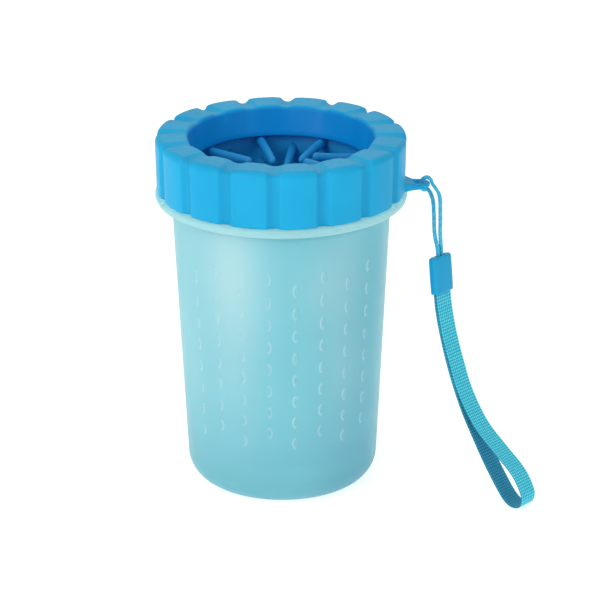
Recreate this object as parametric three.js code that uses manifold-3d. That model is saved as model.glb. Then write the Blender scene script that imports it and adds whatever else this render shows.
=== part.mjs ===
// Paw washer cup: translucent cup with raised ovals, bristled insert, seal, scalloped
// screw-on lid ring with a lug, and a wrist strap hanging from the lug on a cord.
// Millimetres, +Z up. The cup stands on z = 0 about the Z axis, front towards -Y, lug towards +X.
import * as THREE from 'three';
import { mergeVertices } from 'three/addons/utils/BufferGeometryUtils.js';
import Module from 'manifold-3d';

const wasm = await Module();
wasm.setup();

// ------------------------------------------------------------------ dimensions
// Radii are from the Z axis and angles in degrees, unless noted.
const TOTAL_HEIGHT = 110;

// Cup
const BODY_BASE_R = 37.4;             // body wall carried down to z = 0
const BODY_TOP_R = 39.85;             // body wall under the flange
const BASE_FILLET = 7.9;
const FLOOR_T = 2.2;
const FLOOR_CHAMFER = 2.5;
const FLANGE_Z = 91.1;
const FLANGE_T = 2.3;
const FLANGE_R = 45.7;
const FLANGE_LOWER_CHAMFER = 1.1;
const FLANGE_UPPER_CHAMFER = 0.7;
const NECK_R = 39.0;
const NECK_TOP = 102.0;
const BORE_BASE_R = 35.4;
const BORE_TOP_R = 37.3;
const CUP_SEGMENTS = 48;

// Raised ovals on the cup
const BUMP_COLUMNS = 8;               // on each of the front and back halves
const BUMP_STEP = 15;                 // angle between columns
const BUMP_ROWS = 8;
const BUMP_PITCH = 7.22;
const BUMP_HIGH_Z = 77.15;            // top bump of the higher columns
const BUMP_LOW_Z = 73.6;              // top bump of the lower columns
const BUMP_W = 2.5;
const BUMP_H = 3.9;
const BUMP_RISE = 0.4;
const BUMP_SINK = 0.3;                // overlap into the wall
const BUMP_HEAD_SCALE = [0.6, 0.72];  // head size over foot size: [width, height]
// Bump outline, half width and half height 1: [across, up]
const BUMP_OUTLINE = [
  [0, -1], [0.62, -0.78], [1, 0], [0.62, 0.78],
  [0, 1], [-0.62, 0.78], [-1, 0], [-0.62, -0.78],
];

// Right-hand multi-start thread
const THREAD_STARTS = 4;
const THREAD_LEAD = 16;               // mm per turn
const THREAD_STEPS = 7;
const NECK_THREAD_R = 40.4;
const NECK_THREAD_Z = 96.9;
const NECK_THREAD_ARC = 72;
const LID_THREAD_R = 39.75;
const LID_THREAD_DROP = 2.1;          // below the neck thread
const LID_THREAD_ARC = 60;
const LID_THREAD_ANGLE = 6;           // start angle, ahead of the neck thread

// Lid ring
const LID_R = 45;                     // over the lobes
const LID_TOP_R = LID_R - 0.15;       // side wall at its top
const LID_BOTTOM = 93.7;
const LID_BOTTOM_CHAMFER = 0.6;
const SKIRT_BORE_R = 41.4;
const LID_PLATE_Z = 106.5;            // underside of the top plate
const OPENING_R = 32.9;
const COLLAR_END_Z = 101.2;
const COLLAR_END_R = 31.5;
const TOP_EDGE_R = 2.1;               // fillet radius
const LOBES = 16;
const GROOVE_OFFSET = -3.4;           // angle of the first groove
const GROOVE_DEPTH = 1.35;            // into the side
const GROOVE_TOP_DEPTH = 0.8;         // into the top face
const GROOVE_MOUTH_FLARE = 0.25;      // outward, at the opening's rim
// Stations across one lobe: [angle from the groove's middle, share of groove depth]
const LOBE_STATIONS = [[0, 1], [2.3, 0.62], [4.9, 0], [11.25, 0], [17.6, 0], [20.2, 0.62]];

// Lug: tab on the lid's +X side with a cord hole
const LUG_REACH = 53.8;
const LUG_W = 9.0;
const LUG_T = 1.8;
const LUG_Z = 94.65;                  // mid-height
const LUG_ROOT_X = 42.6;
const LUG_ROOT_FLARE = 1.2;           // extra half width at the root
const LUG_BEND_X = 45.5;              // control point of the flare
const LUG_NECK_X = 47.5;
const LUG_NECK_HALF = LUG_W / 2 * 0.86;
const LUG_END_R = LUG_W / 2 * 0.8;
const LUG_HOLE_X = 49.4;
const LUG_HOLE_D = 3.6;

// Brush insert
const SLEEVE_Z = 13.0;
const SLEEVE_BASE_R = 34.5;
const SLEEVE_TOP_R = 36.2;
const SLEEVE_T = 1.5;
const SLEEVE_SEGMENTS = 36;
const RIM_Z = 102.3;                  // underside of the insert's flange
const RIM_T = 1.6;
const RIM_R = 40.6;
const MOUTH_R = 35.7;                 // opening at the flange's top face
const MOUTH_LOWER_R = 35.2;
const MOUTH_LOWER_DROP = 0.4;         // below the flange's underside
const COLLAR_CLEARANCE = 1.2;         // below the lid collar
const BRISTLE_COLUMNS = 18;
const BRISTLE_ROWS = 11;
const BRISTLE_PITCH = 7.2;
const BRISTLE_TOP_Z = 99.3;
const BRISTLE_ANGLE = 13;             // first column
const BRISTLE_SINK = 0.5;             // overlap into the sleeve
const BRISTLE_TIP_R = 12.5;           // distance of the tips from the axis
const BRISTLE_DROOP = 0.2;
const BRISTLE_BASE_D = 3.2;
const BRISTLE_TIP_D = 2.6;

// Seal
const SEAL_Z = 104.2;
const SEAL_T = 1.9;
const SEAL_INNER_R = 35.9;
const SEAL_OUTER_R = 40.4;
const SEAL_CHAMFER = 0.4;

// Hanging plane of the strap: s runs outward along STRAP_YAW, z is height
const STRAP_YAW = -44;                // heading in plan, from +X
const HANG_X = 54.55;                 // s = 0, on the X axis

// Ferrule
const FERRULE_TOP = [5.68, 73.55];    // middle of its top face: [s, z]
const FERRULE_TILT = 11.0;            // lean of its axis from vertical
const FERRULE_W = 9.75;
const FERRULE_T = 3.6;
const FERRULE_H = 11.0;
const FERRULE_END_STEP = 0.4;         // length of the narrower band at each end
const FERRULE_END_INSET = 0.5;        // how much narrower and thinner that band is

// Cord
const CORD_D = 1.5;
const CORD_SEGMENTS = 3;
const CORD_STEPS = 42;
const WEB_X = 52.5;                   // middle of the lug's web outside the hole
const CORD_WRAP_R = 2.65;
// Each tail, from inside the ferrule: [distance down the ferrule axis, sideways offset]
const CORD_TAIL = [[1.6, 0.95], [0.2, 0.95], [-2.5, 0.9975]];
// Runs from the ferrule up to the lug and back down: [x, y, z]
const CORD_RISE = [[56.55, -2.6, 80.5], [56.1, -1.6, 86.0], [55.25, -0.5, 90.0]];
const CORD_FALL = [[57.3, -1.6, 91.9], [58.0, -2.7, 86.5], [58.35, -3.0, 80.5]];
// Angles round the web, seen in the XZ plane, from +X towards +Z
const CORD_WRAP_ANGLES = [-75, -110, -148, 180, 148, 112, 76, 40, 10];

// Webbing
const WEBBING_W = 8.2;
const WEBBING_T = 0.6;
const STRAP_STEPS = 60;
const STRAP_END_OFFSET = 0.48;        // each end, from the ferrule's mid-plane
const STRAP_END_DEPTHS = [5.4, 8.3, 11.4];  // centre-line stations down the ferrule axis
// Outer (upper) run: [s, z]
const STRAP_OUT = [
  [9.3, 58.55], [12.35, 50.35], [17.07, 41.13], [22.0, 33.0], [31.0, 23.63],
  [40.75, 17.72], [49.55, 12.86], [53.42, 9.83], [56.94, 4.9],
];
// Bend and under run: [s, z]
const STRAP_BACK = [
  [56.4, 1.8], [53.6, 0.65], [49.6, 1.35], [40.49, 9.0], [30.24, 20.2],
  [23.72, 28.2], [17.02, 38.65], [11.61, 49.55], [8.25, 58.4],
];

// --------------------------------------------------------------------- helpers
const rad = (degrees) => degrees * Math.PI / 180;

// Point at a radius, angle and height; angle 0 is -Y and grows towards +X
const polar = (radius, angle, z) => new THREE.Vector3(
  radius * Math.sin(rad(angle)), -radius * Math.cos(rad(angle)), z);

// Welded, outward-facing mesh without degenerate triangles
function clean(source) {
  const stripped = source.clone();
  stripped.deleteAttribute('normal');
  stripped.deleteAttribute('uv');
  const welded = mergeVertices(stripped, 1e-4);
  const corners = welded.index.array;
  const position = welded.attributes.position;
  const triangles = [];
  let volume = 0;                     // signed, times six
  for (let i = 0; i < corners.length; i += 3) {
    const [a, b, c] = corners.slice(i, i + 3);
    if (a === b || b === c || a === c) continue;
    triangles.push([a, b, c]);
    const [pa, pb, pc] = [a, b, c].map(
      (corner) => new THREE.Vector3().fromBufferAttribute(position, corner));
    volume += pa.dot(pb.cross(pc));
  }
  const facing = volume < 0 ? triangles.map(([a, b, c]) => [a, c, b]) : triangles;
  welded.setIndex(facing.flat());
  return welded;
}

function toSolid(geometry) {
  const mesh = clean(geometry);
  return new wasm.Manifold(new wasm.Mesh({
    numProp: 3,
    vertProperties: new Float32Array(mesh.attributes.position.array),
    triVerts: new Uint32Array(mesh.index.array),
  }));
}

function toGeometry(solid) {
  const mesh = solid.getMesh();
  const geometry = new THREE.BufferGeometry();
  geometry.setAttribute('position', new THREE.Float32BufferAttribute(mesh.vertProperties, 3));
  geometry.setIndex(new THREE.BufferAttribute(mesh.triVerts, 1));
  return geometry;
}

// Moves every vertex to place(x, y, z)
function reshape(geometry, place) {
  const position = geometry.attributes.position;
  for (let i = 0; i < position.count; i++) {
    const point = place(position.getX(i), position.getY(i), position.getZ(i));
    position.setXYZ(i, point.x, point.y, point.z);
  }
  return geometry;
}

const toShape = (outline) => new THREE.Shape(outline.map(([x, y]) => new THREE.Vector2(x, y)));

function extrude(shape, depth, options = {}) {
  return new THREE.ExtrudeGeometry(shape, { depth, bevelEnabled: false, ...options });
}

// Closed profile of [radius, z], turned about Z
function turned(profile, segments, startAngle = 0) {
  const points = [...profile, profile[0]].map(([r, z]) => new THREE.Vector2(r, z));
  return new THREE.LatheGeometry(points, segments, rad(startAngle), Math.PI * 2)
    .rotateX(Math.PI / 2);
}

// Points along an arc in a profile
function arc(centreR, centreZ, radius, from, to, steps) {
  return Array.from({ length: steps + 1 }, (_, i) => {
    const angle = rad(from + (to - from) * i / steps);
    return [centreR + radius * Math.cos(angle), centreZ + radius * Math.sin(angle)];
  });
}

// Tapered peg between two centres; the head is the foot outline scaled by headScale
function peg({ outline, foot, head, headScale, across, up }) {
  const prism = extrude(toShape(outline), 1, { steps: 1 });
  return reshape(prism, (x, y, z) => {
    const isHead = z > 0.5;
    const centre = isHead ? head : foot;
    const [scaleX, scaleY] = isHead ? headScale : [1, 1];
    return centre.clone().addScaledVector(across, x * scaleX).addScaledVector(up, y * scaleY);
  });
}

// Ridge of trapezoidal section following a helix, thinned at both ends
function threadRidge({ footR, crestR, footHalf, crestHalf, angle, sweep, z: startZ }) {
  const section = toShape([
    [footR, -footHalf], [crestR, -crestHalf], [crestR, crestHalf], [footR, footHalf]]);
  return reshape(extrude(section, 1, { steps: THREAD_STEPS }), (radius, height, along) => {
    const fromEnd = Math.min(along, 1 - along) * sweep;
    const thickness = Math.min(1, 0.25 + fromEnd / 8);
    const climb = THREAD_LEAD * sweep * along / 360;
    return polar(radius, angle + sweep * along, startZ + climb + height * thickness);
  });
}

// The thread's ridges as solids, one for each start
function thread(ridge, firstAngle) {
  return Array.from({ length: THREAD_STARTS }, (_, i) => toSolid(
    threadRidge({ ...ridge, angle: i * 360 / THREAD_STARTS + firstAngle })));
}

const union = (base, parts) => parts.reduce((whole, part) => whole.add(part), base);

// ------------------------------------------------------------------------- cup
const bodyR = (z) => BODY_BASE_R + (BODY_TOP_R - BODY_BASE_R) * z / FLANGE_Z;
const boreR = (z) => BORE_BASE_R + (BORE_TOP_R - BORE_BASE_R) * z / NECK_TOP;

function makeBump(angle, z) {
  const outward = polar(1, angle, 0);
  const slope = (BODY_TOP_R - bodyR(BASE_FILLET)) / (FLANGE_Z - BASE_FILLET);
  const facetR = bodyR(z) * Math.cos(rad(180 / CUP_SEGMENTS));
  const at = (rise) => outward.clone().multiplyScalar(facetR + rise).setZ(z);
  return toSolid(peg({
    outline: BUMP_OUTLINE.map(([x, y]) => [x * BUMP_W / 2, y * BUMP_H / 2]),
    foot: at(-BUMP_SINK),
    head: at(BUMP_RISE),
    headScale: BUMP_HEAD_SCALE,
    across: polar(1, angle + 90, 0),
    up: outward.clone().multiplyScalar(slope).setZ(1),
  }));
}

// Neighbouring columns alternate between the low and high start
function makeBumps() {
  const bumps = [];
  for (const middle of [0, 180]) {
    for (let column = 0; column < BUMP_COLUMNS; column++) {
      const angle = middle + BUMP_STEP * (column - BUMP_COLUMNS / 2 + 0.5);
      const top = column % 2 === 0 ? BUMP_LOW_Z : BUMP_HIGH_Z;
      for (let row = 0; row < BUMP_ROWS; row++) {
        bumps.push(makeBump(angle, top - BUMP_PITCH * row));
      }
    }
  }
  return bumps;
}

function makeCup() {
  const flangeTop = FLANGE_Z + FLANGE_T;
  const floorEdgeZ = FLOOR_T + FLOOR_CHAMFER;
  const profile = [
    [0, 0],
    ...arc(bodyR(BASE_FILLET) - BASE_FILLET, BASE_FILLET, BASE_FILLET, -90, 0, 3),
    [BODY_TOP_R, FLANGE_Z],
    [FLANGE_R - FLANGE_LOWER_CHAMFER, FLANGE_Z],
    [FLANGE_R, FLANGE_Z + FLANGE_LOWER_CHAMFER],
    [FLANGE_R, flangeTop - FLANGE_UPPER_CHAMFER],
    [FLANGE_R - FLANGE_UPPER_CHAMFER, flangeTop],
    [NECK_R, flangeTop],
    [NECK_R, NECK_TOP],
    [boreR(NECK_TOP), NECK_TOP],
    [boreR(floorEdgeZ), floorEdgeZ],
    [boreR(FLOOR_T) - FLOOR_CHAMFER, FLOOR_T],
    [0, FLOOR_T],
  ];
  // Half a segment of turn puts flat facets under the bumps
  const body = toSolid(turned(profile, CUP_SEGMENTS, 180 / CUP_SEGMENTS));
  const neckThread = thread({
    footR: NECK_R - 0.6,
    crestR: NECK_THREAD_R,
    footHalf: 0.95,
    crestHalf: 0.45,
    sweep: NECK_THREAD_ARC,
    z: NECK_THREAD_Z,
  }, 0);
  return toGeometry(union(body, [...makeBumps(), ...neckThread]));
}

// ---------------------------------------------------------------- brush insert
const sleeveR = (z) => SLEEVE_BASE_R
  + (SLEEVE_TOP_R - SLEEVE_BASE_R) * (z - SLEEVE_Z) / (RIM_Z - SLEEVE_Z);

// Five-sided bristle pointing at the axis
function makeBristle(angle, z) {
  const outline = [90, 162, 234, 306, 18].map((corner) => [
    BRISTLE_BASE_D / 2 * Math.cos(rad(corner)), BRISTLE_BASE_D / 2 * Math.sin(rad(corner))]);
  const taper = BRISTLE_TIP_D / BRISTLE_BASE_D;
  return toSolid(peg({
    outline,
    foot: polar(sleeveR(z) - SLEEVE_T + BRISTLE_SINK, angle, z),
    head: polar(BRISTLE_TIP_R, angle, z - BRISTLE_DROOP),
    headScale: [taper, taper],
    across: polar(1, angle + 90, 0),
    up: new THREE.Vector3(0, 0, 1),
  }));
}

function makeBrush() {
  const rimTop = RIM_Z + RIM_T;
  const boreTopZ = COLLAR_END_Z - COLLAR_CLEARANCE;
  const profile = [
    [SLEEVE_BASE_R - SLEEVE_T, SLEEVE_Z],
    [SLEEVE_BASE_R, SLEEVE_Z],
    [SLEEVE_TOP_R, RIM_Z],
    [RIM_R, RIM_Z],
    [RIM_R, rimTop],
    [MOUTH_R, rimTop],
    [MOUTH_LOWER_R, RIM_Z - MOUTH_LOWER_DROP],
    [sleeveR(boreTopZ) - SLEEVE_T, boreTopZ - 1.0],
  ];
  const startAngle = BRISTLE_ANGLE + 180 / SLEEVE_SEGMENTS;
  const sleeve = toSolid(turned(profile, SLEEVE_SEGMENTS, startAngle));
  const bristles = [];
  for (let column = 0; column < BRISTLE_COLUMNS; column++) {
    const angle = BRISTLE_ANGLE + column * 360 / BRISTLE_COLUMNS;
    const stagger = column % 2 === 0 ? 0.5 : 0;
    for (let row = 0; row < BRISTLE_ROWS; row++) {
      bristles.push(makeBristle(angle, BRISTLE_TOP_Z - BRISTLE_PITCH * (row + stagger)));
    }
  }
  return toGeometry(union(sleeve, bristles));
}

// ------------------------------------------------------------------------ seal
function makeSeal() {
  const top = SEAL_Z + SEAL_T;
  const faceR = SEAL_OUTER_R - SEAL_CHAMFER;
  return clean(turned([
    [SEAL_INNER_R, SEAL_Z], [faceR, SEAL_Z], [SEAL_OUTER_R, SEAL_Z + SEAL_CHAMFER],
    [SEAL_OUTER_R, top - SEAL_CHAMFER], [faceR, top], [SEAL_INNER_R, top],
  ], 40));
}

// -------------------------------------------------------------------- lid ring
// Ring with concave grooves down the side, over the edge and across the top
function makeLobedRing() {
  const edgeZ = TOTAL_HEIGHT - TOP_EDGE_R;
  const profile = [
    [SKIRT_BORE_R, LID_BOTTOM],
    [LID_R - LID_BOTTOM_CHAMFER, LID_BOTTOM],
    [LID_R, LID_BOTTOM + LID_BOTTOM_CHAMFER],
    [LID_TOP_R, edgeZ],
    ...arc(LID_TOP_R - TOP_EDGE_R, edgeZ, TOP_EDGE_R, 30, 90, 2),
    [OPENING_R + 0.9, TOTAL_HEIGHT - 0.15],
    [OPENING_R, TOTAL_HEIGHT - 1.1],
    [COLLAR_END_R, COLLAR_END_Z],
    [COLLAR_END_R + 1.9, COLLAR_END_Z],
    [OPENING_R + 1.6, LID_PLATE_Z],
    [SKIRT_BORE_R, LID_PLATE_Z],
  ];
  const perLobe = LOBE_STATIONS.length;
  const segments = LOBES * perLobe;
  return reshape(turned(profile, segments), (x, y, z) => {
    const radius = Math.hypot(x, y);
    const turn = (Math.atan2(x, -y) * 180 / Math.PI + 360) % 360;
    const index = Math.round(turn / (360 / segments)) % segments;
    const [stationAngle, depth] = LOBE_STATIONS[index % perLobe];
    const angle = GROOVE_OFFSET + Math.floor(index / perLobe) * 360 / LOBES + stationAngle;
    const onSide = radius > 43;
    const onTop = z > TOTAL_HEIGHT - 1;
    const onMouthRim = onTop && radius < 36;
    let newRadius = radius;
    if (onSide) newRadius -= GROOVE_DEPTH * depth;
    if (onMouthRim) newRadius += GROOVE_MOUTH_FLARE * depth;
    return polar(newRadius, angle, onTop ? z - GROOVE_TOP_DEPTH * depth : z);
  });
}

function makeLug() {
  const rootHalf = LUG_W / 2 + LUG_ROOT_FLARE;
  const endX = LUG_REACH - LUG_END_R;
  const tab = new THREE.Shape();
  tab.moveTo(LUG_ROOT_X, -rootHalf);
  tab.quadraticCurveTo(LUG_BEND_X, -LUG_W / 2, LUG_NECK_X, -LUG_NECK_HALF);
  tab.lineTo(endX, -LUG_END_R);
  tab.absarc(endX, 0, LUG_END_R, -Math.PI / 2, Math.PI / 2, false);
  tab.lineTo(LUG_NECK_X, LUG_NECK_HALF);
  tab.quadraticCurveTo(LUG_BEND_X, LUG_W / 2, LUG_ROOT_X, rootHalf);
  const hole = new THREE.Path();
  hole.absarc(LUG_HOLE_X, 0, LUG_HOLE_D / 2, 0, Math.PI * 2, true);
  tab.holes.push(hole);
  return extrude(tab, LUG_T, { curveSegments: 8 }).translate(0, 0, LUG_Z - LUG_T / 2);
}

function makeLid() {
  const lidThread = thread({
    footR: SKIRT_BORE_R + 0.5,
    crestR: LID_THREAD_R,
    footHalf: 0.85,
    crestHalf: 0.35,
    sweep: LID_THREAD_ARC,
    z: NECK_THREAD_Z - LID_THREAD_DROP + THREAD_LEAD * LID_THREAD_ANGLE / 360,
  }, LID_THREAD_ANGLE);
  return toGeometry(union(toSolid(makeLobedRing()), [toSolid(makeLug()), ...lidThread]));
}

// --------------------------------------------------------------- hanging plane
const heading = new THREE.Vector3(Math.cos(rad(STRAP_YAW)), Math.sin(rad(STRAP_YAW)), 0);
const sideways = new THREE.Vector3(-heading.y, heading.x, 0);

// Point at s and z in the hanging plane, moved sideways out of it
const hanging = (s, offset, z) => new THREE.Vector3(HANG_X, 0, 0)
  .addScaledVector(heading, s).addScaledVector(sideways, offset).setZ(z);

const ferruleAxis = new THREE.Vector2(Math.sin(rad(FERRULE_TILT)), -Math.cos(rad(FERRULE_TILT)));
const ferruleNormal = new THREE.Vector2(-ferruleAxis.y, ferruleAxis.x);

// (s, z) at a depth below the ferrule's top face and an offset through its thickness
const inFerrule = (depth, offset = 0) => new THREE.Vector2(...FERRULE_TOP)
  .addScaledVector(ferruleAxis, depth).addScaledVector(ferruleNormal, offset);

// ------------------------------------------------------------------------ cord
// Up from the ferrule, through the lug hole, round the web and back down
function makeCord() {
  const tail = (side) => CORD_TAIL.map(([depth, offset]) => {
    const point = inFerrule(depth);
    return hanging(point.x, side * offset, point.y);
  });
  const wrap = CORD_WRAP_ANGLES.map((angle) => new THREE.Vector3(
    WEB_X + CORD_WRAP_R * Math.cos(rad(angle)), 0, LUG_Z + CORD_WRAP_R * Math.sin(rad(angle))));
  const toPoints = (table) => table.map((point) => new THREE.Vector3(...point));
  const path = new THREE.CatmullRomCurve3([
    ...tail(-1), ...toPoints(CORD_RISE), ...wrap, ...toPoints(CORD_FALL), ...tail(1).reverse(),
  ], false, 'centripetal');
  const section = new THREE.Shape();
  section.absarc(0, 0, CORD_D / 2, 0, Math.PI * 2, false);
  return clean(new THREE.ExtrudeGeometry(section, {
    steps: CORD_STEPS,
    curveSegments: CORD_SEGMENTS,
    extrudePath: path,
    bevelEnabled: false,
  }));
}

// --------------------------------------------------------------------- ferrule
// Bar along the ferrule's axis, its long edges rounded, between two depths
function ferruleBar({ width, thickness, corner, from, to, cornerSegments = 2 }) {
  const x = width / 2 - corner;
  const y = thickness / 2 - corner;
  const section = new THREE.Shape();
  [[x, y], [-x, y], [-x, -y], [x, -y]].forEach(([centreX, centreY], i) => {
    section.absarc(centreX, centreY, corner, Math.PI / 2 * i, Math.PI / 2 * (i + 1), false);
  });
  const bar = extrude(section, to - from, { curveSegments: cornerSegments });
  return reshape(bar, (across, through, along) => {
    const point = inFerrule(from + along, through);
    return hanging(point.x, across, point.y);
  });
}

function makeFerrule() {
  const body = ferruleBar({
    width: FERRULE_W, thickness: FERRULE_T, corner: 1.1,
    from: FERRULE_END_STEP, to: FERRULE_H - FERRULE_END_STEP, cornerSegments: 3,
  });
  const ends = ferruleBar({
    width: FERRULE_W - FERRULE_END_INSET, thickness: FERRULE_T - FERRULE_END_INSET,
    corner: 0.85, from: 0, to: FERRULE_H, cornerSegments: 3,
  });
  const cordSlot = ferruleBar({ width: 4.6, thickness: 2.3, corner: 0.5, from: -1, to: 5 });
  const webbingSlot = ferruleBar({
    width: WEBBING_W + 0.4, thickness: 2.15, corner: 0.3, from: 4.2, to: FERRULE_H + 1,
  });
  return toGeometry(toSolid(body).add(toSolid(ends))
    .subtract(toSolid(cordSlot)).subtract(toSolid(webbingSlot)));
}

// Bar tack joining the cord tails to the webbing ends, inside the ferrule
function makeStitching() {
  return clean(ferruleBar({ width: 3.2, thickness: 1.5, corner: 0.4, from: 2.3, to: 5.0 }));
}

// ----------------------------------------------------------------- wrist strap
// Folded webbing: down the outer run, round the bend and back up the under run
function makeStrap() {
  const end = (side) => STRAP_END_DEPTHS.map(
    (depth) => inFerrule(depth, side * STRAP_END_OFFSET).toArray());
  const stations = [...end(1), ...STRAP_OUT, ...STRAP_BACK, ...end(-1).reverse()];
  const centreLine = new THREE.CatmullRomCurve3(
    stations.map(([s, z]) => new THREE.Vector3(s, z, 0)), false, 'centripetal');
  const edge = (offset) => Array.from({ length: STRAP_STEPS + 1 }, (_, i) => {
    const point = centreLine.getPointAt(i / STRAP_STEPS);
    const tangent = centreLine.getTangentAt(i / STRAP_STEPS);
    return [point.x - tangent.y * offset, point.y + tangent.x * offset];
  });
  const ribbon = toShape([...edge(WEBBING_T / 2), ...edge(-WEBBING_T / 2).reverse()]);
  return clean(reshape(extrude(ribbon, WEBBING_W),
    (s, z, across) => hanging(s, across - WEBBING_W / 2, z)));
}

// -------------------------------------------------------------------- assembly
const group = new THREE.Group();
group.name = 'paw_washer_cup';

function add(name, geometry, look) {
  const mesh = new THREE.Mesh(
    geometry, new THREE.MeshStandardMaterial({ metalness: 0, ...look }));
  mesh.name = name;
  group.add(mesh);
}

add('cup', makeCup(), { color: 0xa9d8e2, roughness: 0.45, transparent: true, opacity: 0.6 });
add('brush_insert', makeBrush(), { color: 0x1873c0, roughness: 0.55 });
add('seal_ring', makeSeal(), { color: 0xd9e6ea, roughness: 0.6 });
add('lid_ring', makeLid(), { color: 0x3bb0e0, roughness: 0.38 });
add('cord_loop', makeCord(), { color: 0x3fb6e2, roughness: 0.75 });
add('strap_ferrule', makeFerrule(), { color: 0x2fa6dc, roughness: 0.35 });
add('strap_stitching', makeStitching(), { color: 0x2a93c8, roughness: 0.85 });
add('wrist_strap', makeStrap(), { color: 0x46bcdf, roughness: 0.85 });

export default group;
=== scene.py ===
"""Frosted cup with a blue screw-on lid ring, a bristled insert and a wrist strap.

The cup stands on z = 0 with its axis on Z. The lid's lug points along +X; cord, ferrule
and webbing hang from it in an upright plane heading towards +X and -Y. Shapes are in mm
and become metres in add_mesh. Azimuths start at -Y and grow counter-clockwise from above.
"""
import math

import bpy
import bmesh
import numpy as np
from mathutils import Matrix, Vector


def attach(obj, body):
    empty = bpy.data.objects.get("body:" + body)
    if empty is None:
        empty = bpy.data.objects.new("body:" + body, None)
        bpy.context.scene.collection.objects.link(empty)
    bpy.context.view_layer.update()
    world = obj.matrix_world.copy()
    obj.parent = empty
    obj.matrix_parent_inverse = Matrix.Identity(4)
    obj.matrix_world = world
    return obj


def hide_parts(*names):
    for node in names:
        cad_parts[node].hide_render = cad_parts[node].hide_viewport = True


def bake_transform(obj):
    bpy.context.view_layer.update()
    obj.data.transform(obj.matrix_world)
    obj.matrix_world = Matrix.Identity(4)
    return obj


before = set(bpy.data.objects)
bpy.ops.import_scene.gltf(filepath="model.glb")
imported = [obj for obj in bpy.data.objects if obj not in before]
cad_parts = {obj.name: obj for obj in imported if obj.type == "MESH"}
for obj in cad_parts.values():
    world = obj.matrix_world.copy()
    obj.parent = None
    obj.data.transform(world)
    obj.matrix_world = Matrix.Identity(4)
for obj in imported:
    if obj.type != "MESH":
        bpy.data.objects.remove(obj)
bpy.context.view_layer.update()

MM = 0.001

# ------------------------------------------------------------ shared sizes, mm
BASE_R, BODY_TOP_R, FLANGE_Z = 37.4, 39.85, 91.1
NECK_R, NECK_TOP = 39.0, 102.0
THREAD_Z, THREAD_LEAD, THREAD_STARTS = 96.9, 16.0, 4
LID_R, LID_BOTTOM, LID_TOP = 45.0, 93.7, 110.0

# lug on the lid: mid height, thickness, its eye and its end
LUG_Z, LUG_T = 94.65, 1.8
LUG_EYE_X, LUG_EYE_R, LUG_END_X = 49.4, 1.8, 53.8
LUG_BAR_X = (LUG_EYE_X + LUG_EYE_R + LUG_END_X) / 2    # middle of the bar the cord goes round

# hanging plane: a foot point, the level heading and the level direction across it
HEADING = math.radians(-44)
HANG = np.array([54.55, 0.0, 0.0])
HEAD = np.array([math.cos(HEADING), math.sin(HEADING), 0.0])
ACROSS = np.array([-HEAD[1], HEAD[0], 0.0])

# ferrule, as (out, height) in the hanging plane; its axis runs down and slightly out
TILT = math.radians(11.0)
FERRULE_TOP = np.array([5.68, 73.55])
FERRULE_AXIS = np.array([math.sin(TILT), -math.cos(TILT)])
FERRULE_SIDE = np.array([-FERRULE_AXIS[1], FERRULE_AXIS[0]])
FERRULE_W, FERRULE_T, FERRULE_H = 9.75, 3.6, 11.0
WEB_W, WEB_T = 8.2, 0.6


# -------------------------------------------------------------------- geometry
def smooth(start, end, x):
    """Smoothstep from 0 at start to 1 at end."""
    t = np.clip((np.asarray(x, float) - start) / (end - start), 0, 1)
    return t * t * (3 - 2 * t)


def unit(vectors):
    return vectors / np.linalg.norm(vectors, axis=-1, keepdims=True)


def on_strap(out, across, height):
    """Points given by distance out along the heading, distance across it, and height."""
    points = HANG + np.multiply.outer(out, HEAD) + np.multiply.outer(across, ACROSS)
    points[..., 2] = height
    return points


def ferrule_plane(down, side):
    """(out, height) of a point down the ferrule's axis and sideways, away from the cup."""
    return FERRULE_TOP + FERRULE_AXIS * down + FERRULE_SIDE * side


def ferrule_point(down, side, across):
    out, height = ferrule_plane(down, side)
    return on_strap(out, across, height)


def arc(centre_r, centre_z, radius, start, end, steps):
    """Points of an arc in a profile, angles in degrees from the outward direction."""
    angles = np.radians(np.linspace(start, end, steps + 1))
    return [(centre_r + radius * math.cos(a), centre_z + radius * math.sin(a)) for a in angles]


def resample(outline, step):
    """Points of a polyline no further apart than step; corners are kept."""
    points = [outline[0]]
    for a, b in zip(outline[:-1], outline[1:]):
        a, b = np.array(a, float), np.array(b, float)
        n = max(1, int(math.ceil(np.linalg.norm(b - a) / step)))
        points += [a + (b - a) * i / n for i in range(1, n + 1)]
    return np.array(points)


def centripetal(points, steps):
    """Centripetal Catmull-Rom: steps + 1 samples evenly spaced by length, and the length."""
    def between(a, b, at_a, at_b, t):
        return (at_b - t) / (at_b - at_a) * a + (t - at_a) / (at_b - at_a) * b

    P = np.array(points, float)
    P = np.vstack([2 * P[0] - P[1], P, 2 * P[-1] - P[-2]])
    dense = []
    for i in range(1, len(P) - 2):
        p0, p1, p2, p3 = P[i - 1:i + 3]
        t0 = 0.0
        t1 = t0 + np.linalg.norm(p1 - p0) ** 0.5
        t2 = t1 + np.linalg.norm(p2 - p1) ** 0.5
        t3 = t2 + np.linalg.norm(p3 - p2) ** 0.5
        for t in np.linspace(t1, t2, 24, endpoint=False):
            a1 = between(p0, p1, t0, t1, t)
            a2 = between(p1, p2, t1, t2, t)
            a3 = between(p2, p3, t2, t3, t)
            b1 = between(a1, a2, t0, t2, t)
            b2 = between(a2, a3, t1, t3, t)
            dense.append(between(b1, b2, t1, t2, t))
    dense.append(P[-2])
    dense = np.array(dense)
    steps_long = np.linalg.norm(np.diff(dense, axis=0), axis=1)
    travelled = np.concatenate([[0], np.cumsum(steps_long)])
    length = travelled[-1]
    at = np.linspace(0, length, steps + 1)
    samples = [np.interp(at, travelled, dense[:, k]) for k in range(dense.shape[1])]
    return np.stack(samples, 1), length


def tangents(path):
    return unit(np.gradient(path, axis=0))


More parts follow.
